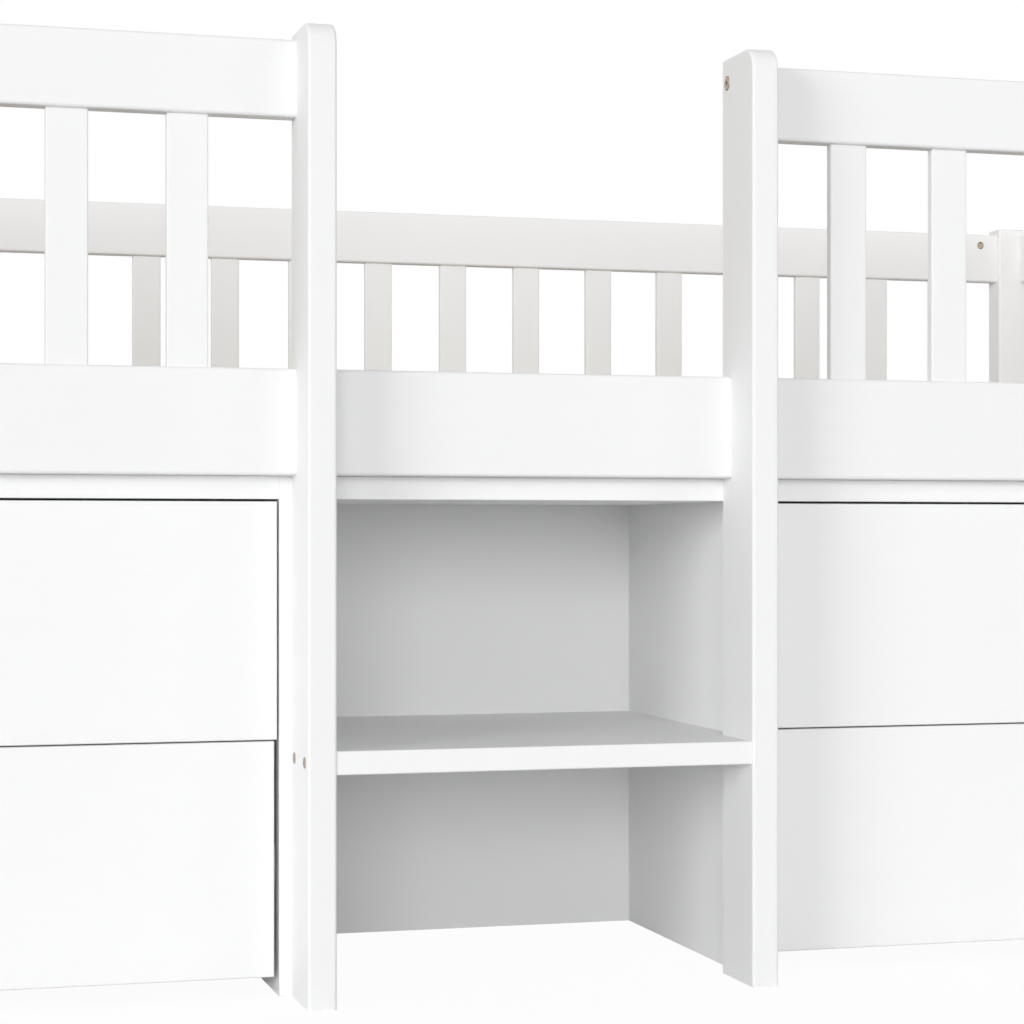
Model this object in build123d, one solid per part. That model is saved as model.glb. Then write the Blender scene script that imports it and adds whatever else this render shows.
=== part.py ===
from build123d import *

import os

# Twin loft bed with two ladder posts, an open bay and four drawers under the deck
# Lengths are in millimetres. +Z is up, the front faces -Y, and the origin is on the floor under the middle.

os.makedirs("parts", exist_ok=True)

# Overall sizes
bed_length = 2030.0
inner_width = 1000.5
guard_top = 795.7
ladder_post_rise = 7.1
corner_post_rise = 7.3

# Frame timber
rail_thickness = 20.6
side_rail_height = 88.3
top_rail_height = 64.2
corner_post_width = 55.0
corner_post_depth = 32.4
post_reveal = 3.6
ladder_post_width = 23.8
ladder_post_depth = 71.6
ladder_opening = 360.6
baluster_width = 34.3
baluster_thickness = 9.5
baluster_pitch = 97.85
end_baluster_count = 9
ledger_width = 22.0
ledger_height = 25.0
slat_end_play = 5.25
slat_width = 70.0
slat_thickness = 15.0
slat_count = 15
slat_end_margin = 80.0

# Chests and bay under the deck
board = 19.6
chest_height = 435.0
bay_width = 390.0
bay_depth = 301.5
back_thickness = 12.0
shelf_top = 209.7
shelf_setback = 2.0

# Drawers
front_thickness = 18.0
lower_front_height = 196.9
kick_gap = 16.3
middle_gap = 1.2
top_gap = 1.9
upper_side_gap = 1.8
lower_side_gap = 4.2
drawer_wall = 12.0
drawer_wall_height = 140.0
drawer_wall_length = 270.0
drawer_wall_lift = 20.0
drawer_floor = 5.0
drawer_floor_lift = 10.0
floor_groove_depth = 5.0
housing_depth = 6.0
grip_width = 110.0
grip_height = 24.0
grip_corner = 12.0

# Drawer slides
slide_space = 12.7
slide_height = 35.0
slide_steel = 1.2
slide_length = 265.0
slide_setback = 4.0
slide_play = 0.4

# Fasteners
bolt_diameter = 6.0
bolt_head_diameter = 12.3
bolt_head_height = 2.2
bolt_proud = 0.4
bolt_hex = 4.0
bolt_hex_depth = 1.6
long_bolt_length = 84.0
short_bolt_length = 58.0
bolt_recess = 6.0
nut_diameter = 9.6
nut_inset = 24.0
nut_recess = 0.8
nut_edge = 1.2
nut_slot_width = 1.4
nut_slot_depth = 1.2
screw_diameter = 4.0
screw_length = 38.0
screw_head_diameter = 9.2
screw_head_height = 2.2
screw_proud = 0.7
screw_cross_length = 4.6
screw_cross_width = 0.9
screw_cross_depth = 1.3
dowel_diameter = 8.0
dowel_length = 30.0
dowel_short_side = 9.0
head_pocket = 10.0

# Fastener places
side_bolt_offset = 26.0
end_bolt_offset = 12.0
top_bolt_drop = 14.7
top_dowel_rise = 14.5
post_screw_rises = (49.0, 71.0)
shelf_screw_insets = (15.4, 59.8)
ledger_screw_count = 6
board_dowel_insets = (50.0, 240.0)

# Joints in the wood
tenon_shoulder = 3.0
tenon_cheek = 1.0
tenon_length = 8.0

# Clearances
shank_play = 0.25
thread_play = 0.1
head_play = 0.4
nut_play = 0.15
dowel_play = 0.1
tenon_play = 0.15
hole_overrun = 1.5
groove_play = 0.15

# Rounded edges
post_edge = 2.5
ladder_post_top = 20.0
board_edge = 0.8
rail_edge = 3.0
baluster_edge = 1.5
front_edge = 1.5
shelf_edge = 1.5
slat_edge = 2.0

# Planes and levels that several pieces share
front_y = -(ladder_post_depth + inner_width + rail_thickness + post_reveal) / 2
rail_inner_front = front_y + ladder_post_depth
rail_outer_front = rail_inner_front - rail_thickness
rail_inner_rear = rail_inner_front + inner_width
rail_outer_rear = rail_inner_rear + rail_thickness
front_rail_y = (rail_inner_front + rail_outer_front) / 2
rear_rail_y = (rail_inner_rear + rail_outer_rear) / 2
post_outer_x = bed_length / 2
post_inner_x = post_outer_x - corner_post_width
end_rail_outer_x = post_outer_x - post_reveal
end_rail_inner_x = end_rail_outer_x - rail_thickness
end_rail_x = (end_rail_outer_x + end_rail_inner_x) / 2
post_back_front = rail_outer_front - post_reveal + corner_post_depth
post_front_rear = rail_outer_rear + post_reveal - corner_post_depth
ladder_inner_x = ladder_opening / 2
ladder_outer_x = ladder_inner_x + ladder_post_width
side_rail_bottom = chest_height
side_rail_top = side_rail_bottom + side_rail_height
side_rail_middle = side_rail_bottom + side_rail_height / 2
ladder_post_height = guard_top + ladder_post_rise
corner_post_height = guard_top + corner_post_rise
guard_bottom = guard_top - top_rail_height
guard_middle = guard_top - top_rail_height / 2
ledger_top = side_rail_bottom + ledger_height
slat_length = inner_width - 2 * slat_end_play
bay_x = bay_width / 2
chest_inner_x = bay_x + board
chest_outer_x = post_inner_x - board
back_front_y = rail_inner_front + bay_depth
back_rear_y = back_front_y + back_thickness
board_underside = chest_height - board
shelf_underside = shelf_top - board
top_bolt_height = guard_top - top_bolt_drop
top_dowel_height = guard_bottom + top_dowel_rise
side_bolt_heights = (side_rail_middle - side_bolt_offset, side_rail_middle + side_bolt_offset)
end_bolt_heights = (side_rail_middle - end_bolt_offset, side_rail_middle + end_bolt_offset)

SIDES = (("left", -1), ("right", 1))
LEVELS = ("lower", "upper")


# Shapes that the pieces are made from

def block(x_span, y_span, z_span):
    """Return a box that fills the three spans, each given by its two ends in either order."""
    spans = (x_span, y_span, z_span)
    middle = [(first + last) / 2 for first, last in spans]
    size = [abs(last - first) for first, last in spans]
    return Pos(*middle) * Box(*size)


def rounded(shape, axis, radius):
    """Round every straight edge of a shape that runs along an axis."""
    return fillet(shape.edges().filter_by(axis), radius)


def edges_at(shape, axis, sort_axis, last):
    """Return the shape's edges along one axis that lie furthest out on another axis."""
    groups = shape.edges().filter_by(axis).group_by(sort_axis)
    return groups[-1 if last else 0]


def aimed(point, direction, across=None):
    """Return the place of a fastener whose own +Z runs from a point into the wood."""
    return Plane(origin=point, x_dir=across, z_dir=direction).location


def rod(radius, start, end):
    """Return a cylinder on the Z axis between two heights."""
    return Pos(0, 0, (start + end) / 2) * Cylinder(radius, end - start)


def even_steps(start, end, count):
    """Return the middles of equal pieces that are spread from one end of a span to the other."""
    return [start + (end - start) * (index + 0.5) / count for index in range(count)]


# Fasteners, each drawn with the underside of its head at height 0 and its shank along +Z

def bolt(length):
    """Return a flat-headed bolt with a hexagonal key socket."""
    shank = rod(bolt_diameter / 2, 0, length)
    head = rod(bolt_head_diameter / 2, -bolt_head_height, 0)
    head = fillet(head.edges().group_by(Axis.Z)[0], bolt_head_height / 3)
    key = extrude(RegularPolygon(bolt_hex / 2, 6, major_radius=False), bolt_hex_depth)
    return head + shank - Pos(0, 0, -bolt_head_height) * key


def bolt_hole(length):
    """Return the space that a bolt and its head need."""
    shank = rod(bolt_diameter / 2 + shank_play, 0, length + hole_overrun)
    return shank + rod(bolt_head_diameter / 2 + head_play, -head_pocket, 0)


def barrel_nut():
    """Return a barrel nut with a cross bore for its bolt and a screwdriver slot in the end that shows."""
    body = rod(nut_diameter / 2, nut_recess, rail_thickness - bolt_recess / 2)
    body = chamfer(body.edges().group_by(Axis.Z)[0], nut_edge)
    bore = Rot(0, 90, 0) * Cylinder(bolt_diameter / 2 + thread_play, 2 * nut_diameter)
    slot = Pos(0, 0, nut_recess) * Box(2 * nut_diameter, nut_slot_width, 2 * nut_slot_depth)
    return body - Pos(0, 0, rail_thickness / 2) * bore - slot


def barrel_nut_hole():
    """Return the blind bore that holds a barrel nut."""
    return rod(nut_diameter / 2 + nut_play, -hole_overrun, rail_thickness - bolt_recess / 2 + nut_play)


def screw():
    """Return a wood screw with a low round head and a cross recess."""
    shank = rod(screw_diameter / 2, 0, screw_length)
    head = rod(screw_head_diameter / 2, -screw_head_height, 0)
    head = fillet(head.edges().group_by(Axis.Z)[0], screw_proud)
    bar = Box(screw_cross_length, screw_cross_width, 2 * screw_cross_depth)
    cross = bar + Rot(0, 0, 90) * bar
    return head + shank - Pos(0, 0, -screw_head_height) * cross


def screw_hole():
    """Return the space that a screw and its head need."""
    shank = rod(screw_diameter / 2 + thread_play, 0, screw_length + hole_overrun)
    return shank + rod(screw_head_diameter / 2 + head_play, -head_pocket, 0)


def dowel():
    """Return a beech dowel whose short side lies below height 0."""
    body = rod(dowel_diameter / 2, -dowel_short_side, dowel_length - dowel_short_side)
    return chamfer(body.edges().filter_by(GeomType.CIRCLE), dowel_diameter / 10)


def dowel_hole():
    """Return the bore that holds a dowel in both of its pieces."""
    low = -dowel_short_side - dowel_play
    return rod(dowel_diameter / 2 + dowel_play, low, dowel_length - dowel_short_side + hole_overrun)


# Where the fasteners go: each place is a point and the way in from it

def long_bolt_places():
    """Return the places of the bolts through the corner posts into the side rails and top rails."""
    places = []
    for _, side in SIDES:
        for rail_y in (front_rail_y, rear_rail_y):
            for height in (*side_bolt_heights, top_bolt_height):
                seat = (side * (post_outer_x - bolt_recess), rail_y, height)
                places.append(aimed(seat, (-side, 0, 0)))
    return places


def short_bolt_places():
    """Return the places of the bolts into the end rails, and of those through the ladder posts."""
    places = []
    sink = bolt_head_height - bolt_proud
    for _, side in SIDES:
        for height in (*end_bolt_heights, guard_middle):
            front_seat = (side * end_rail_x, rail_outer_front - post_reveal + bolt_recess, height)
            rear_seat = (side * end_rail_x, rail_outer_rear + post_reveal - bolt_recess, height)
            places.append(aimed(front_seat, (0, 1, 0)))
            places.append(aimed(rear_seat, (0, -1, 0)))
        ladder_seat = (side * (ladder_inner_x + sink), front_rail_y, top_bolt_height)
        places.append(aimed(ladder_seat, (side, 0, 0)))
    return places


def nut_places():
    """Return the places of the barrel nuts, with their slotted ends in the rails' inner faces."""
    places = []
    for _, side in SIDES:
        nut_x = side * (post_inner_x - nut_inset)
        for height in (*side_bolt_heights, top_bolt_height):
            places.append(aimed((nut_x, rail_inner_front, height), (0, -1, 0), (1, 0, 0)))
            places.append(aimed((nut_x, rail_inner_rear, height), (0, 1, 0), (1, 0, 0)))
        ladder_nut_x = side * (ladder_outer_x + nut_inset)
        places.append(aimed((ladder_nut_x, rail_inner_front, top_bolt_height), (0, -1, 0), (1, 0, 0)))
        for height in (*end_bolt_heights, guard_middle):
            for nut_y in (post_back_front + nut_inset, post_front_rear - nut_inset):
                places.append(aimed((side * end_rail_inner_x, nut_y, height), (side, 0, 0), (0, 1, 0)))
    return places


def screw_places():
    """Return the places of the screws in the shelf, the ladder posts and the ledgers."""
    places = []
    recess = screw_head_height - screw_proud
    ledger_height_middle = side_rail_bottom + ledger_height / 2
    for _, side in SIDES:
        for inset in shelf_screw_insets:
            seat = (side * (ladder_outer_x - recess), front_y + inset, shelf_top - board / 2)
            places.append(aimed(seat, (-side, 0, 0)))
        for rise in post_screw_rises:
            ladder_middle = side * (ladder_inner_x + ladder_outer_x) / 2
            seat = (ladder_middle, rail_inner_front - recess, side_rail_bottom + rise)
            places.append(aimed(seat, (0, -1, 0)))
    for screw_x in even_steps(-post_inner_x, post_inner_x, ledger_screw_count):
        front_seat = (screw_x, rail_inner_front + ledger_width - recess, ledger_height_middle)
        rear_seat = (screw_x, rail_inner_rear - ledger_width + recess, ledger_height_middle)
        places.append(aimed(front_seat, (0, -1, 0)))
        places.append(aimed(rear_seat, (0, 1, 0)))
    return places


def dowel_places():
    """Return the places of the dowels in the top rails' ends, the top boards and the shelf."""
    places = []
    for _, side in SIDES:
        for rail_y in (front_rail_y, rear_rail_y):
            places.append(aimed((side * post_inner_x, rail_y, top_dowel_height), (-side, 0, 0)))
        places.append(aimed((side * ladder_outer_x, front_rail_y, top_dowel_height), (side, 0, 0)))
        for inset in board_dowel_insets:
            dowel_y = rail_inner_front + inset
            board_middle = chest_height - board / 2
            places.append(aimed((side * bay_x, dowel_y, board_middle), (-side, 0, 0)))
            places.append(aimed((side * chest_inner_x, dowel_y, board_middle), (side, 0, 0)))
            places.append(aimed((side * chest_outer_x, dowel_y, board_middle), (-side, 0, 0)))
            places.append(aimed((side * bay_x, dowel_y, shelf_top - board / 2), (-side, 0, 0)))
    return places


def placed(shape, places):
    """Return one copy of a shape at every place."""
    return [place * shape for place in places]


def all_holes():
    """Return every fastener hole with its bounding box."""
    holes = placed(bolt_hole(long_bolt_length), long_bolt_places())
    holes += placed(bolt_hole(short_bolt_length), short_bolt_places())
    holes += placed(barrel_nut_hole(), nut_places())
    holes += placed(screw_hole(), screw_places())
    holes += placed(dowel_hole(), dowel_places())
    return [(hole, hole.bounding_box()) for hole in holes]


def boxes_meet(first, second):
    """Tell whether two bounding boxes share any space."""
    lows = (first.min.X < second.max.X, first.min.Y < second.max.Y, first.min.Z < second.max.Z)
    highs = (second.min.X < first.max.X, second.min.Y < first.max.Y, second.min.Z < first.max.Z)
    return all(lows) and all(highs)


def drilled(shape, holes):
    """Cut every fastener hole that reaches a piece out of it."""
    box = shape.bounding_box()
    near = [hole for hole, hole_box in holes if boxes_meet(box, hole_box)]
    return shape - near if near else shape


# Balusters and their mortises

def baluster_steps(start, end):
    """Return the multiples of the baluster pitch that leave a whole gap inside a span."""
    room = baluster_width
    steps = range(int(start / baluster_pitch) - 1, int(end / baluster_pitch) + 2)
    return [step * baluster_pitch for step in steps if start + room < step * baluster_pitch < end - room]


def end_baluster_steps():
    """Return the middles of the balusters that part an end guard into equal gaps."""
    count = end_baluster_count
    gap = (post_front_rear - post_back_front - count * baluster_width) / (count + 1)
    first = post_back_front + gap + baluster_width / 2
    return [first + index * (gap + baluster_width) for index in range(count)]


def baluster():
    """Return one baluster along a side of the bed, with a tenon on each end, at the middle of its rails."""
    slat = block(
        (-baluster_width / 2, baluster_width / 2),
        (-baluster_thickness / 2, baluster_thickness / 2),
        (side_rail_top, guard_bottom),
    )
    slat = rounded(slat, Axis.Z, baluster_edge)
    half_width = baluster_width / 2 - tenon_shoulder
    half_thickness = baluster_thickness / 2 - tenon_cheek
    tenon = block(
        (-half_width, half_width),
        (-half_thickness, half_thickness),
        (side_rail_top - tenon_length, guard_bottom + tenon_length),
    )
    return slat + tenon


def mortises():
    """Return the two mortises that hold one baluster's tenons."""
    half_width = baluster_width / 2 - tenon_shoulder + tenon_play
    half_thickness = baluster_thickness / 2 - tenon_cheek + tenon_play
    depth = tenon_length + tenon_play
    lower = block(
        (-half_width, half_width), (-half_thickness, half_thickness), (side_rail_top - depth, side_rail_top)
    )
    upper = block(
        (-half_width, half_width), (-half_thickness, half_thickness), (guard_bottom, guard_bottom + depth)
    )
    return [lower, upper]


def along_side(rail_y, start, end):
    """Return the places of the balusters over part of a side rail."""
    return [Pos(x, rail_y, 0) for x in baluster_steps(start, end)]


def along_end(side):
    """Return the places of the balusters over an end rail."""
    return [Pos(side * end_rail_x, y, 0) * Rot(0, 0, 90) for y in end_baluster_steps()]


def mortised(shape, places):
    """Cut the mortises at every place that reach a rail out of it."""
    pockets = [place * pocket for place in places for pocket in mortises()]
    box = shape.bounding_box()
    near = [pocket for pocket in pockets if boxes_meet(box, pocket.bounding_box())]
    return shape - near


# Frame

def ladder_post(side):
    """Return a ladder post, notched at the back over the side rail."""
    post = block(
        (side * ladder_inner_x, side * ladder_outer_x), (front_y, rail_inner_front), (0, ladder_post_height)
    )
    post = fillet(edges_at(post, Axis.X, Axis.Y, last=False).sort_by(Axis.Z)[-1], ladder_post_top)
    post = fillet(edges_at(post, Axis.Z, Axis.Y, last=False), post_edge)
    notch = block(
        (side * (ladder_inner_x - 1), side * (ladder_outer_x + 1)),
        (rail_outer_front, rail_inner_front + 1),
        (side_rail_bottom, side_rail_top),
    )
    return post - notch


def corner_post(side, front):
    """Return a corner post with a rounded top."""
    y_span = (rail_outer_front - post_reveal, post_back_front)
    if not front:
        y_span = (post_front_rear, rail_outer_rear + post_reveal)
    post = block((side * post_inner_x, side * post_outer_x), y_span, (0, corner_post_height))
    floor_edges = post.edges().group_by(Axis.Z)[0]
    return fillet(post.edges() - floor_edges, post_edge)


def side_rail(inner_y, outer_y):
    """Return a long rail that carries the deck, from corner post to corner post."""
    rail = block((-post_inner_x, post_inner_x), (inner_y, outer_y), (side_rail_bottom, side_rail_top))
    return rounded(rail, Axis.X, rail_edge)


def end_rail(side):
    """Return a short rail between two corner posts at the height of the side rails."""
    rail = block(
        (side * end_rail_inner_x, side * end_rail_outer_x),
        (post_back_front, post_front_rear),
        (side_rail_bottom, side_rail_top),
    )
    return rounded(rail, Axis.Y, rail_edge)


def side_top_rail(start, end, inner_y, outer_y):
    """Return a guard rail over part of a side."""
    rail = block((start, end), (inner_y, outer_y), (guard_bottom, guard_top))
    return rounded(rail, Axis.X, rail_edge)


def end_top_rail(side):
    """Return a guard rail over an end."""
    rail = block(
        (side * end_rail_inner_x, side * end_rail_outer_x),
        (post_back_front, post_front_rear),
        (guard_bottom, guard_top),
    )
    return rounded(rail, Axis.Y, rail_edge)


def ledger(inner_y, way):
    """Return the batten on a side rail that the slats lie on."""
    return block(
        (-post_inner_x, post_inner_x), (inner_y, inner_y + way * ledger_width), (side_rail_bottom, ledger_top)
    )


def deck_slats():
    """Return the deck slats, which lie on the two ledgers."""
    middle_y = (rail_inner_front + rail_inner_rear) / 2
    slat = block(
        (-slat_width / 2, slat_width / 2),
        (middle_y - slat_length / 2, middle_y + slat_length / 2),
        (ledger_top, ledger_top + slat_thickness),
    )
    slat = fillet(edges_at(slat, Axis.Y, Axis.Z, last=True), slat_edge)
    reach = post_inner_x - slat_end_margin + slat_width / 2
    step = 2 * reach / (slat_count - 1)
    return [Pos(index * step - reach, 0, 0) * slat for index in range(slat_count)]


# Chests and bay

def chest_side(side, outer):
    """Return an upright board of a chest, standing on the floor."""
    near_x = chest_outer_x if outer else bay_x
    upright = block(
        (side * near_x, side * (near_x + board)), (rail_inner_front, back_rear_y), (0, chest_height)
    )
    return fillet(edges_at(upright, Axis.Z, Axis.Y, last=False), board_edge)


def top_board(start, end):
    """Return the board that closes a chest or the bay on top."""
    lid = block((start, end), (rail_inner_front, back_rear_y), (board_underside, chest_height))
    return fillet(edges_at(lid, Axis.X, Axis.Y, last=False), board_edge)


def back_board(start, end):
    """Return the board that closes a chest or the bay at the back."""
    return block((start, end), (back_front_y, back_rear_y), (0, board_underside))


def shelf():
    """Return the bay shelf, which reaches forward between the ladder posts as a step."""
    tread = block(
        (-ladder_inner_x, ladder_inner_x),
        (front_y + shelf_setback, rail_inner_front),
        (shelf_underside, shelf_top),
    )
    front_edges = edges_at(tread, Axis.X, Axis.Y, last=False)
    tread = fillet(front_edges, shelf_edge)
    rear = block((-bay_x, bay_x), (rail_inner_front, back_front_y), (shelf_underside, shelf_top))
    return tread + rear


# Drawers

def front_levels(level):
    """Return the heights of a drawer front's bottom and top edges."""
    lower_top = kick_gap + lower_front_height
    if level == "lower":
        return kick_gap, lower_top
    return lower_top + middle_gap, board_underside - top_gap


def front_side_gap(level):
    """Return the gap that shows at each side of a drawer front."""
    return lower_side_gap if level == "lower" else upper_side_gap


def wall_levels(level):
    """Return the heights of the bottom and top of a drawer's walls."""
    bottom = front_levels(level)[0] + drawer_wall_lift
    return bottom, bottom + drawer_wall_height


def box_span():
    """Return the outer faces of a drawer's walls on the right side of the bed."""
    return chest_inner_x + slide_space, chest_outer_x - slide_space


def floor_panel(side, level, play):
    """Return a drawer's floor, or with a play the groove that holds it."""
    inner, outer = box_span()
    reach = drawer_wall - floor_groove_depth
    bottom = wall_levels(level)[0] + drawer_floor_lift
    panel_front = rail_inner_front + front_thickness - floor_groove_depth
    panel_rear = rail_inner_front + front_thickness + drawer_wall_length - reach
    return block(
        (side * (inner + reach - play), side * (outer - reach + play)),
        (panel_front - play, panel_rear + play),
        (bottom - play, bottom + drawer_floor + play),
    )


def drawer_side_wall(side, level, near_x, play):
    """Return one side wall of a drawer, or with a play the housing for its front end."""
    bottom, top = wall_levels(level)
    y_start = rail_inner_front + front_thickness - housing_depth
    y_end = rail_inner_front + front_thickness + drawer_wall_length
    return block(
        (side * (near_x - play), side * (near_x + drawer_wall + play)),
        (y_start - play, y_end + play),
        (bottom - play, top + play),
    )


def side_wall_starts():
    """Return the inner face distances of a drawer's two side walls from the middle of the bed."""
    inner, outer = box_span()
    return inner, outer - drawer_wall


def drawer_front(side, level):
    """Return a drawer front with a finger grip in its top edge and housings behind it."""
    bottom, top = front_levels(level)
    gap = front_side_gap(level)
    front = block(
        (side * (chest_inner_x + gap), side * (chest_outer_x - gap)),
        (rail_inner_front, rail_inner_front + front_thickness),
        (bottom, top),
    )
    front = fillet(front.faces().sort_by(Axis.Y)[0].edges(), front_edge)
    middle_x = side * (chest_inner_x + chest_outer_x) / 2
    grip = extrude(RectangleRounded(grip_width, 2 * grip_height, grip_corner), 2 * front_thickness, both=True)
    grip = Pos(middle_x, rail_inner_front, top) * Rot(90, 0, 0) * grip
    housings = [drawer_side_wall(side, level, near_x, groove_play) for near_x in side_wall_starts()]
    return front - [grip, floor_panel(side, level, groove_play), *housings]


def drawer_sides(side, level):
    """Return the two side walls of a drawer, grooved for its floor and its back."""
    walls = [drawer_side_wall(side, level, near_x, 0) for near_x in side_wall_starts()]
    cutters = [floor_panel(side, level, groove_play), drawer_back_wall(side, level, groove_play)]
    return [wall - cutters for wall in walls]


def drawer_back_wall(side, level, play):
    """Return the back wall of a drawer, or with a play the space that holds it."""
    inner, outer = box_span()
    reach = drawer_wall - housing_depth
    y_end = rail_inner_front + front_thickness + drawer_wall_length
    bottom, top = wall_levels(level)
    return block(
        (side * (inner + reach - play), side * (outer - reach + play)),
        (y_end - drawer_wall - play, y_end + play),
        (bottom - play, top + play),
    )


def drawer_back(side, level):
    """Return the back wall of a drawer, grooved for its floor."""
    return drawer_back_wall(side, level, 0) - floor_panel(side, level, groove_play)


def slide_faces():
    """Return where the two slides of a chest start, and which way each one faces its drawer."""
    return (chest_inner_x, 1), (chest_outer_x, -1)


def channel(start_x, way, flange, half_height, y_span, middle_z):
    """Return a steel channel whose web stands on a face and whose flanges point one way."""
    body = block(
        (start_x, start_x + way * flange), y_span, (middle_z - half_height, middle_z + half_height)
    )
    hollow = block(
        (start_x + way * slide_steel, start_x + way * (flange + 1)),
        (y_span[0] - 1, y_span[1] + 1),
        (middle_z - half_height + slide_steel, middle_z + half_height - slide_steel),
    )
    return body - hollow


def slide_middle(level):
    """Return the height of the middle of a drawer's slides."""
    bottom, top = wall_levels(level)
    return (bottom + top) / 2


def chest_channels():
    """Return the fixed members of all the slides, each closed at the rear by a stop."""
    members = []
    y_start = rail_inner_front + front_thickness + slide_setback
    flange = slide_space - slide_steel - slide_play
    for _, side in SIDES:
        for level in LEVELS:
            for face_x, way in slide_faces():
                middle_z = slide_middle(level)
                y_span = (y_start, y_start + slide_length)
                member = channel(side * face_x, side * way, flange, slide_height / 2, y_span, middle_z)
                stop = block(
                    (side * face_x, side * (face_x + way * flange)),
                    (y_span[1] - slide_steel, y_span[1]),
                    (middle_z - slide_height / 2, middle_z + slide_height / 2),
                )
                members.append(member + stop)
    return members


def drawer_channels(side, level):
    """Return the two moving members of a drawer's slides, which nest in the fixed ones."""
    members = []
    half_height = slide_height / 2 - slide_steel - slide_play
    y_start = rail_inner_front + front_thickness + slide_setback
    y_span = (y_start, y_start + slide_length - slide_steel - slide_play)
    flange = slide_space - slide_steel - slide_play
    for face_x, way in slide_faces():
        wall_x = side * (face_x + way * slide_space)
        members.append(channel(wall_x, -side * way, flange, half_height, y_span, slide_middle(level)))
    return members


# All nodes of the bed

def frame_nodes(holes):
    """Return the posts, rails, balusters and deck."""
    front_spans = {
        side_name: sorted((side * ladder_outer_x, side * post_inner_x)) for side_name, side in SIDES
    }
    front_places = [place for span in front_spans.values() for place in along_side(front_rail_y, *span)]
    rear_places = along_side(rear_rail_y, -post_inner_x, post_inner_x)
    nodes = {}
    for side_name, side in SIDES:
        nodes[f"ladder_post_{side_name}"] = ladder_post(side)
        nodes[f"corner_post_front_{side_name}"] = corner_post(side, front=True)
        nodes[f"corner_post_rear_{side_name}"] = corner_post(side, front=False)
        nodes[f"end_rail_{side_name}"] = mortised(end_rail(side), along_end(side))
        nodes[f"top_rail_end_{side_name}"] = mortised(end_top_rail(side), along_end(side))
        top_rail = side_top_rail(*front_spans[side_name], rail_inner_front, rail_outer_front)
        nodes[f"top_rail_front_{side_name}"] = mortised(top_rail, front_places)
    nodes["side_rail_front"] = mortised(side_rail(rail_inner_front, rail_outer_front), front_places)
    nodes["side_rail_rear"] = mortised(side_rail(rail_inner_rear, rail_outer_rear), rear_places)
    rear_top_rail = side_top_rail(-post_inner_x, post_inner_x, rail_inner_rear, rail_outer_rear)
    nodes["top_rail_rear"] = mortised(rear_top_rail, rear_places)
    nodes["ledger_front"] = ledger(rail_inner_front, 1)
    nodes["ledger_rear"] = ledger(rail_inner_rear, -1)
    nodes = {name: drilled(shape, holes) for name, shape in nodes.items()}
    for side_name, side in SIDES:
        side_places = along_side(front_rail_y, *front_spans[side_name])
        nodes[f"balusters_front_{side_name}"] = placed(baluster(), side_places)
        nodes[f"balusters_end_{side_name}"] = placed(baluster(), along_end(side))
    nodes["balusters_rear"] = placed(baluster(), rear_places)
    nodes["deck_slats"] = deck_slats()
    return nodes


def chest_nodes(holes):
    """Return the boards of the chests and the bay."""
    nodes = {"bay_top": top_board(-bay_x, bay_x), "bay_back": back_board(-bay_x, bay_x), "bay_shelf": shelf()}
    for side_name, side in SIDES:
        inner_x = side * chest_inner_x
        outer_x = side * chest_outer_x
        nodes[f"chest_side_inner_{side_name}"] = chest_side(side, outer=False)
        nodes[f"chest_side_outer_{side_name}"] = chest_side(side, outer=True)
        nodes[f"chest_top_{side_name}"] = top_board(inner_x, outer_x)
        nodes[f"chest_back_{side_name}"] = back_board(inner_x, outer_x)
    return {name: drilled(shape, holes) for name, shape in nodes.items()}


def drawer_nodes():
    """Return the drawers and their slides."""
    nodes = {"slide_chest_members": chest_channels()}
    for side_name, side in SIDES:
        for level in LEVELS:
            name = f"{side_name}_{level}"
            nodes[f"drawer_front_{name}"] = drawer_front(side, level)
            nodes[f"drawer_sides_{name}"] = drawer_sides(side, level)
            nodes[f"drawer_back_{name}"] = drawer_back(side, level)
            nodes[f"drawer_floor_{name}"] = floor_panel(side, level, 0)
            nodes[f"slide_drawer_members_{name}"] = drawer_channels(side, level)
    return nodes


def fastener_nodes():
    """Return the fasteners, each kind as one node."""
    return {
        "bolts_long": placed(bolt(long_bolt_length), long_bolt_places()),
        "bolts_short": placed(bolt(short_bolt_length), short_bolt_places()),
        "barrel_nuts": placed(barrel_nut(), nut_places()),
        "wood_screws": placed(screw(), screw_places()),
        "dowels": placed(dowel(), dowel_places()),
    }


holes = all_holes()
all_nodes = {**frame_nodes(holes), **chest_nodes(holes), **drawer_nodes(), **fastener_nodes()}
for name, shape in all_nodes.items():
    solids = shape if isinstance(shape, list) else [shape]
    node = Compound([solid for piece in solids for solid in piece.solids()])
    node.label = name
    export_step(node, f"parts/{name}.step")
print(len(all_nodes), "nodes written")
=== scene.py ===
import logging
import math
from dataclasses import dataclass
from enum import Enum
from typing import Any, ClassVar, Iterable, Sequence

import bpy
import numpy as np
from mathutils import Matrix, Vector

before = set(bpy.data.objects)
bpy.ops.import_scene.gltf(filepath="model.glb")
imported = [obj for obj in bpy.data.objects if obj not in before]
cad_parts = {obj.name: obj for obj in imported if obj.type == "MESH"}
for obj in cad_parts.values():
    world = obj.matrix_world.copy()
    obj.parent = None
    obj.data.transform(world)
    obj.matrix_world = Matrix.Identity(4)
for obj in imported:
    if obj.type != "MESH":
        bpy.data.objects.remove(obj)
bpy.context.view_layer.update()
log = logging.getLogger("loft_bed")

Point = tuple[float, float, float]

# The sockets of a Mix node that is set to colours
MIX_FACTOR = 0
MIX_FIRST = 6
MIX_SECOND = 7
MIX_RESULT = 2


class Grain(Enum):
    """The way the wood's fibres run through a piece."""

    ALONG_BED = 0
    ACROSS_BED = 1
    UPRIGHT = 2


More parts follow.
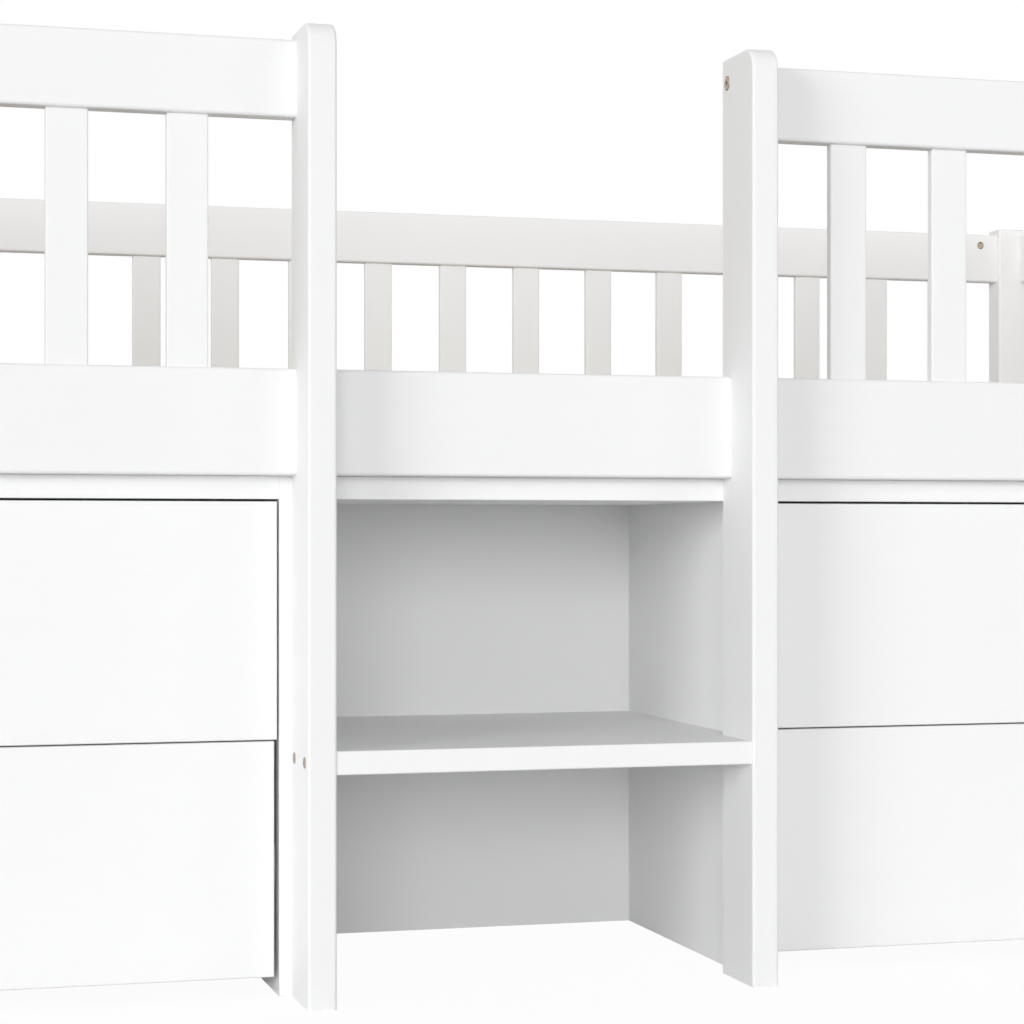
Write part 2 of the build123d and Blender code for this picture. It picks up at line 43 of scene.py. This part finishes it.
class Slot(Enum):
    """The record's material slots."""

    TIMBER = "white_timber"
    BOARD = "white_board"
    PINE = "bare_pine"
    STEEL = "slide_steel"
    BRASS = "brass_hardware"


# Shader building

class Value:
    """A number socket that turns Python arithmetic into Math nodes."""

    def __init__(self, nodes: "Nodes", socket: bpy.types.NodeSocket) -> None:
        """Keep the node tree that owns the socket, and the socket."""
        self.nodes = nodes
        self.socket = socket

    def _math(self, operation: str, first: Any, second: Any) -> "Value":
        """Add one Math node.

        Args:
            operation: The Math node's operation.
            first: Its first number or Value.
            second: Its second number or Value.

        Returns:
            The node's result.
        """
        return self.nodes.node("ShaderNodeMath", {"operation": operation}, {0: first, 1: second})

    def __add__(self, other: Any) -> "Value":
        """Add a number or a Value."""
        return self._math("ADD", self, other)

    def __radd__(self, other: Any) -> "Value":
        """Add this Value to a number."""
        return self._math("ADD", other, self)

    def __sub__(self, other: Any) -> "Value":
        """Subtract a number or a Value."""
        return self._math("SUBTRACT", self, other)

    def __rsub__(self, other: Any) -> "Value":
        """Subtract this Value from a number."""
        return self._math("SUBTRACT", other, self)

    def __mul__(self, other: Any) -> "Value":
        """Multiply by a number or a Value."""
        return self._math("MULTIPLY", self, other)

    def __rmul__(self, other: Any) -> "Value":
        """Multiply a number by this Value."""
        return self._math("MULTIPLY", other, self)


class Nodes:
    """The node tree of a material or of the world, emptied before use."""

    def __init__(self, tree: bpy.types.NodeTree) -> None:
        """Clear the tree and keep it."""
        self.tree = tree
        self.tree.nodes.clear()

    def node(self, kind: str, settings: dict[str, Any], inputs: dict[Any, Any], output: Any = 0) -> Value:
        """Add a node, set it up and link it.

        Args:
            kind: The node's type.
            settings: The node's own settings.
            inputs: Values or links for its sockets, by name or number.
            output: The socket to return, by name or number.

        Returns:
            The chosen output.
        """
        node = self.tree.nodes.new(kind)
        for key, setting in settings.items():
            setattr(node, key, setting)
        for key, value in inputs.items():
            if isinstance(value, Value):
                self.tree.links.new(value.socket, node.inputs[key])
            else:
                node.inputs[key].default_value = value
        return Value(self, node.outputs[output] if node.outputs else None)


class Shader(Nodes):
    """A material with the patterns that feed its surface."""

    def __init__(self, name: str) -> None:
        """Make the empty material."""
        self.material = bpy.data.materials.new(name)
        self.material.use_nodes = True
        super().__init__(self.material.node_tree)

    def place(self, scale: Sequence[float]) -> Value:
        """Return the object coordinates stretched by a scale along each axis."""
        coordinates = self.node("ShaderNodeTexCoord", {}, {}, "Object")
        return self.node("ShaderNodeMapping", {}, {"Vector": coordinates, "Scale": tuple(scale)})

    def noise(self, cells: Sequence[float], detail: float) -> Value:
        """Return fractal noise from 0 to 1.

        Args:
            cells: Its cells per metre along X, Y and Z.
            detail: Its number of finer layers.

        Returns:
            The noise as a number.
        """
        inputs = {"Vector": self.place(cells), "Scale": 1.0, "Detail": detail, "Roughness": 0.55}
        return self.node("ShaderNodeTexNoise", {}, inputs, "Fac")

    def blend(self, factor: Any, first: Sequence[float], second: Sequence[float]) -> Value:
        """Return a colour between two colours."""
        inputs = {MIX_FACTOR: factor, MIX_FIRST: (*first, 1.0), MIX_SECOND: (*second, 1.0)}
        return self.node("ShaderNodeMix", {"data_type": "RGBA"}, inputs, MIX_RESULT)

    def bump(self, height: Value, depth: float, strength: float, under: Value | None = None) -> Value:
        """Return a normal bent by a height pattern.

        Args:
            height: The pattern, from 0 to 1.
            depth: The real depth of the pattern in metres.
            strength: The share of that depth that shows.
            under: An already bent normal that this pattern lies on.

        Returns:
            The bent normal.
        """
        inputs = {"Height": height, "Distance": depth, "Strength": strength}
        if under is not None:
            inputs["Normal"] = under
        return self.node("ShaderNodeBump", {}, inputs, "Normal")

    def finish(self, inputs: dict[str, Any]) -> bpy.types.Material:
        """Close the material with its Principled BSDF.

        Args:
            inputs: The shader's values and links by socket name.

        Returns:
            The finished material.
        """
        surface = self.node("ShaderNodeBsdfPrincipled", {}, inputs)
        self.node("ShaderNodeOutputMaterial", {}, {"Surface": surface})
        return self.material


def stretched(grain: Grain, across: float, along: float) -> list[float]:
    """Return the pattern scale for fibres that run one way.

    Args:
        grain: The fibres' direction.
        across: Cells per metre across the fibres.
        along: Cells per metre along them.

    Returns:
        The scale along X, Y and Z.
    """
    scale = [across, across, across]
    scale[grain.value] = along
    return scale


@dataclass(frozen=True)
class WhitePaint:
    """Soft white paint over wood, with a little of the fibres showing through."""

    colour: Point = (0.872, 0.874, 0.876)
    shaded: Point = (0.845, 0.847, 0.849)
    roughness: float = 0.55
    roughness_swing: float = 0.10
    gloss: float = 0.3
    fibre_cells: tuple[float, float] = (190.0, 4.0)
    cloud_cells: float = 3.0
    stipple_cells: float = 850.0
    fibre_tone: float = 0.45
    cloud_tone: float = 0.55
    fibre_depth: float = 0.00022
    fibre_strength: float = 0.35
    stipple_depth: float = 0.00008
    stipple_strength: float = 0.30

    def material(self, name: str, grain: Grain) -> bpy.types.Material:
        """Build the paint for one direction of the fibres.

        Args:
            name: The material's name.
            grain: The fibres' direction.

        Returns:
            The material.
        """
        shader = Shader(name)
        fibres = shader.noise(stretched(grain, *self.fibre_cells), 4.0)
        clouds = shader.noise([self.cloud_cells] * 3, 2.0)
        stipple = shader.noise([self.stipple_cells] * 3, 1.0)
        tone = fibres * self.fibre_tone + clouds * self.cloud_tone
        soft = shader.bump(fibres, self.fibre_depth, self.fibre_strength)
        normal = shader.bump(stipple, self.stipple_depth, self.stipple_strength, soft)
        return shader.finish({
            "Base Color": shader.blend(tone, self.shaded, self.colour),
            "Roughness": clouds * self.roughness_swing + (self.roughness - self.roughness_swing / 2),
            "Normal": normal,
            "Specular IOR Level": self.gloss,
        })


@dataclass(frozen=True)
class BarePine:
    """Planed pine with pale early wood, darker late wood and open pores."""

    early: Point = (0.80, 0.70, 0.56)
    late: Point = (0.68, 0.54, 0.38)
    roughness: float = 0.58
    roughness_swing: float = 0.14
    ring_cells: tuple[float, float] = (42.0, 1.6)
    pore_cells: tuple[float, float] = (900.0, 16.0)
    ring_tone: float = 0.8
    pore_tone: float = 0.2
    pore_depth: float = 0.00020
    pore_strength: float = 0.5

    def material(self, name: str, grain: Grain) -> bpy.types.Material:
        """Build the pine for one direction of the fibres.

        Args:
            name: The material's name.
            grain: The fibres' direction.

        Returns:
            The material.
        """
        shader = Shader(name)
        rings = shader.noise(stretched(grain, *self.ring_cells), 3.0)
        pores = shader.noise(stretched(grain, *self.pore_cells), 2.0)
        late = rings * self.ring_tone + pores * self.pore_tone
        return shader.finish({
            "Base Color": shader.blend(late, self.early, self.late),
            "Roughness": pores * self.roughness_swing + (self.roughness - self.roughness_swing / 2),
            "Normal": shader.bump(pores, self.pore_depth, self.pore_strength),
        })


@dataclass(frozen=True)
class PlatedMetal:
    """Plated metal with a drawn or worn surface."""

    bright: Point
    dull: Point
    roughness: float
    streak_cells: tuple[float, float]
    roughness_swing: float = 0.16
    cloud_cells: float = 160.0
    streak_depth: float = 0.00006
    streak_strength: float = 0.4

    def material(self, name: str, grain: Grain) -> bpy.types.Material:
        """Build the metal for one direction of its streaks.

        Args:
            name: The material's name.
            grain: The streaks' direction.

        Returns:
            The material.
        """
        shader = Shader(name)
        streaks = shader.noise(stretched(grain, *self.streak_cells), 2.0)
        clouds = shader.noise([self.cloud_cells] * 3, 3.0)
        return shader.finish({
            "Base Color": shader.blend(clouds, self.dull, self.bright),
            "Metallic": 1.0,
            "Roughness": streaks * self.roughness_swing + (self.roughness - self.roughness_swing / 2),
            "Normal": shader.bump(streaks, self.streak_depth, self.streak_strength),
        })


TIMBER_PAINT = WhitePaint()
BOARD_PAINT = WhitePaint(
    colour=(0.890, 0.892, 0.894),
    shaded=(0.865, 0.867, 0.869),
    fibre_strength=0.10,
    stipple_strength=0.34,
    roughness=0.52,
)
PINE = BarePine()
ZINC = PlatedMetal(
    bright=(0.66, 0.67, 0.69),
    dull=(0.52, 0.53, 0.55),
    roughness=0.34,
    streak_cells=(2400.0, 60.0),
)
BRASS = PlatedMetal(
    bright=(0.54, 0.46, 0.36),
    dull=(0.36, 0.30, 0.22),
    roughness=0.42,
    streak_cells=(1200.0, 30.0),
)


class Wardrobe:
    """Makes each finish once and hands it out by slot and direction."""

    FINISHES: ClassVar[dict[Slot, WhitePaint | BarePine | PlatedMetal]] = {
        Slot.TIMBER: TIMBER_PAINT,
        Slot.BOARD: BOARD_PAINT,
        Slot.PINE: PINE,
        Slot.STEEL: ZINC,
        Slot.BRASS: BRASS,
    }

    def __init__(self) -> None:
        """Start with no materials made."""
        self.made: dict[tuple[Slot, Grain], bpy.types.Material] = {}

    def pick(self, slot: Slot, grain: Grain) -> bpy.types.Material:
        """Return the material of a slot for one direction.

        Args:
            slot: The record's slot.
            grain: The direction of its fibres or streaks.

        Returns:
            The material, made on first use.
        """
        key = (slot, grain)
        if key not in self.made:
            name = f"{slot.value}_{grain.name.lower()}"
            self.made[key] = self.FINISHES[slot].material(name, grain)
        return self.made[key]


def dress(node: str, material: bpy.types.Material) -> None:
    """Give a carried-over node its material.

    Args:
        node: The node's name.
        material: The finish for all of its faces.
    """
    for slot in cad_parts[node].material_slots:
        slot.material = material
    log.info("%s wears %s", node, material.name)


# Sub-assemblies

SIDES = ("left", "right")
LEVELS = ("lower", "upper")


@dataclass
class SubAssembly:
    """A group of carried-over nodes that share a material slot."""

    slot: ClassVar[Slot]

    def build(self) -> dict[str, Grain]:
        """Return the group's nodes with the way their fibres run."""
        raise NotImplementedError

    def dress(self, wardrobe: Wardrobe) -> None:
        """Give each node the finish of its slot and grain."""
        for node, grain in self.build().items():
            dress(node, wardrobe.pick(self.slot, grain))


@dataclass
class BedFrame(SubAssembly):
    """The posts, rails and balusters."""

    slot: ClassVar[Slot] = Slot.TIMBER
    posts: tuple[str, ...] = ("ladder_post", "corner_post_front", "corner_post_rear")
    baluster_rows: tuple[str, ...] = ("balusters_front", "balusters_end")
    end_rails: tuple[str, ...] = ("end_rail", "top_rail_end")
    long_rails: tuple[str, ...] = ("side_rail_front", "side_rail_rear", "top_rail_rear")

    def build(self) -> dict[str, Grain]:
        """Return upright posts and balusters, and rails along and across the bed.

        Returns:
            The grain of each node, by name.
        """
        grains = {f"{post}_{side}": Grain.UPRIGHT for post in self.posts for side in SIDES}
        grains |= {f"{row}_{side}": Grain.UPRIGHT for row in self.baluster_rows for side in SIDES}
        grains |= {f"{rail}_{side}": Grain.ACROSS_BED for rail in self.end_rails for side in SIDES}
        grains |= {f"top_rail_front_{side}": Grain.ALONG_BED for side in SIDES}
        grains |= {rail: Grain.ALONG_BED for rail in self.long_rails}
        return grains | {"balusters_rear": Grain.UPRIGHT}


@dataclass
class Chests(SubAssembly):
    """The boards of the chests and the bay."""

    slot: ClassVar[Slot] = Slot.BOARD
    uprights: tuple[str, ...] = ("chest_side_inner", "chest_side_outer")
    flat_boards: tuple[str, ...] = ("chest_top", "chest_back")

    def build(self) -> dict[str, Grain]:
        """Return the upright sides, and the tops and backs along the bed.

        Returns:
            The grain of each node, by name.
        """
        grains = {"bay_top": Grain.ALONG_BED, "bay_back": Grain.UPRIGHT, "bay_shelf": Grain.ALONG_BED}
        grains |= {f"{board}_{side}": Grain.UPRIGHT for board in self.uprights for side in SIDES}
        return grains | {f"{board}_{side}": Grain.ALONG_BED for board in self.flat_boards for side in SIDES}


@dataclass
class Drawers(SubAssembly):
    """The boards of the four drawers."""

    slot: ClassVar[Slot] = Slot.BOARD
    boards_along: tuple[str, ...] = ("front", "back", "floor")

    def build(self) -> dict[str, Grain]:
        """Return fronts, backs and floors along the bed, and side walls across it.

        Returns:
            The grain of each node, by name.
        """
        drawers = [f"{side}_{level}" for side in SIDES for level in LEVELS]
        boards = [f"{board}_{drawer}" for board in self.boards_along for drawer in drawers]
        grains = {f"drawer_{board}": Grain.ALONG_BED for board in boards}
        return grains | {f"drawer_sides_{drawer}": Grain.ACROSS_BED for drawer in drawers}


@dataclass
class Slides(SubAssembly):
    """The fixed and the moving members of the drawer slides."""

    slot: ClassVar[Slot] = Slot.STEEL

    def build(self) -> dict[str, Grain]:
        """Return all the members, drawn across the bed."""
        moving = [f"slide_drawer_members_{side}_{level}" for side in SIDES for level in LEVELS]
        return {member: Grain.ACROSS_BED for member in ("slide_chest_members", *moving)}


@dataclass
class Deck(SubAssembly):
    """The bare slats, the ledgers under them, and the dowels."""

    slot: ClassVar[Slot] = Slot.PINE
    pieces_along: tuple[str, ...] = ("ledger_front", "ledger_rear", "dowels")

    def build(self) -> dict[str, Grain]:
        """Return the slats across the bed, and the rest along it."""
        grains = {piece: Grain.ALONG_BED for piece in self.pieces_along}
        return grains | {"deck_slats": Grain.ACROSS_BED}


@dataclass
class Hardware(SubAssembly):
    """The bolts, nuts and screws."""

    slot: ClassVar[Slot] = Slot.BRASS
    fasteners: tuple[str, ...] = ("bolts_long", "bolts_short", "barrel_nuts", "wood_screws")

    def build(self) -> dict[str, Grain]:
        """Return the fasteners, turned along the bed."""
        return {fastener: Grain.ALONG_BED for fastener in self.fasteners}


# Studio

@dataclass
class Studio:
    """The floor, the lamps, the surrounding light and the camera, in metres and degrees.

    The camera's place, turn and lens are fitted to the straight edges in the photograph.
    """

    eye: Point = (-0.5823, -2.47747, 0.38352)
    yaw_degrees: float = -15.893
    lens_mm: float = 85.236
    rise: float = 0.02467
    sensor_mm: float = 36.0
    sight: float = 200.0
    floor_half: float = 30.0
    floor_glow: float = 0.96
    floor_white: float = 0.90
    surround: float = 0.43
    front_light: float = 1.10
    front_bearing: float = 12.0
    left_light: float = 1.42
    left_bearing: float = 55.0
    right_light: float = 0.35
    right_bearing: float = -45.0
    light_height: float = 7.0
    light_spread: float = 26.0

    def build_camera(self) -> None:
        """Put the camera where the photograph was taken from."""
        data = bpy.data.cameras.new("camera")
        data.sensor_width = self.sensor_mm
        data.lens = self.lens_mm
        data.shift_y = self.rise
        data.clip_end = self.sight
        camera = bpy.data.objects.new("camera", data)
        camera.location = self.eye
        camera.rotation_euler = (math.pi / 2, 0.0, math.radians(self.yaw_degrees))
        bpy.context.scene.collection.objects.link(camera)
        bpy.context.scene.camera = camera

    def build_floor(self) -> None:
        """Lay a white floor that keeps the bed's shadow."""
        half = self.floor_half
        corners = np.array([(-half, -half, 0), (half, -half, 0), (half, half, 0), (-half, half, 0)], float)
        mesh = bpy.data.meshes.new("floor")
        mesh.from_pydata(corners, [], [(0, 1, 2, 3)])
        floor = bpy.data.objects.new("floor", mesh)
        bpy.context.scene.collection.objects.link(floor)
        shader = Shader("floor_white")
        seen = shader.node("ShaderNodeLightPath", {}, {}, "Is Camera Ray")
        plain = shader.node("ShaderNodeBsdfDiffuse", {}, {"Color": (*[self.floor_white] * 3, 1.0)})
        glow = shader.node("ShaderNodeEmission", {}, {"Color": (1.0, 1.0, 1.0, 1.0), "Strength": 1.0})
        surface = shader.node("ShaderNodeMixShader", {}, {0: seen * self.floor_glow, 1: plain, 2: glow})
        shader.node("ShaderNodeOutputMaterial", {}, {"Surface": surface})
        mesh.materials.append(shader.material)

    def build_lamp(self, name: str, bearing: float, strength: float) -> None:
        """Hang a soft, distant lamp that lights the whole length of the bed evenly.

        Args:
            name: The lamp's name.
            bearing: How far it stands to the left of straight ahead, in degrees.
            strength: Its light in watts per square metre.
        """
        data = bpy.data.lights.new(name, "SUN")
        data.energy = strength
        data.angle = math.radians(self.light_spread)
        turn, rise = math.radians(bearing), math.radians(self.light_height)
        beam = Vector((math.sin(turn) * math.cos(rise), math.cos(turn) * math.cos(rise), -math.sin(rise)))
        lamp = bpy.data.objects.new(name, data)
        lamp.rotation_euler = beam.to_track_quat("-Z", "Y").to_euler()
        bpy.context.scene.collection.objects.link(lamp)

    def build_surround(self) -> None:
        """Light everything evenly, and show white to the camera."""
        world = bpy.data.worlds.new("surround")
        bpy.context.scene.world = world
        world.use_nodes = True
        nodes = Nodes(world.node_tree)
        camera = nodes.node("ShaderNodeLightPath", {}, {}, "Is Camera Ray")
        glossy = nodes.node("ShaderNodeLightPath", {}, {}, "Is Glossy Ray")
        seen = nodes.node("ShaderNodeMath", {"operation": "MAXIMUM"}, {0: camera, 1: glossy})
        white = {"Color": (1.0, 1.0, 1.0, 1.0)}
        soft_light = nodes.node("ShaderNodeBackground", {}, {**white, "Strength": self.surround})
        white_view = nodes.node("ShaderNodeBackground", {}, white)
        light = nodes.node("ShaderNodeMixShader", {}, {0: seen, 1: soft_light, 2: white_view})
        nodes.node("ShaderNodeOutputWorld", {}, {"Surface": light})

    def build(self) -> None:
        """Set up everything around the bed."""
        bpy.context.scene.view_settings.view_transform = "Standard"
        self.build_camera()
        self.build_floor()
        self.build_surround()
        self.build_lamp("front_lamp", self.front_bearing, self.front_light)
        self.build_lamp("left_lamp", self.left_bearing, self.left_light)
        self.build_lamp("right_lamp", self.right_bearing, self.right_light)


def main() -> None:
    """Dress the bed and set up the studio."""
    logging.basicConfig(level=logging.INFO, format="%(name)s: %(message)s")
    wardrobe = Wardrobe()
    groups: Iterable[SubAssembly] = (BedFrame(), Chests(), Drawers(), Slides(), Deck(), Hardware())
    for group in groups:
        group.dress(wardrobe)
    Studio().build()


if __name__ == "__main__":
    main()
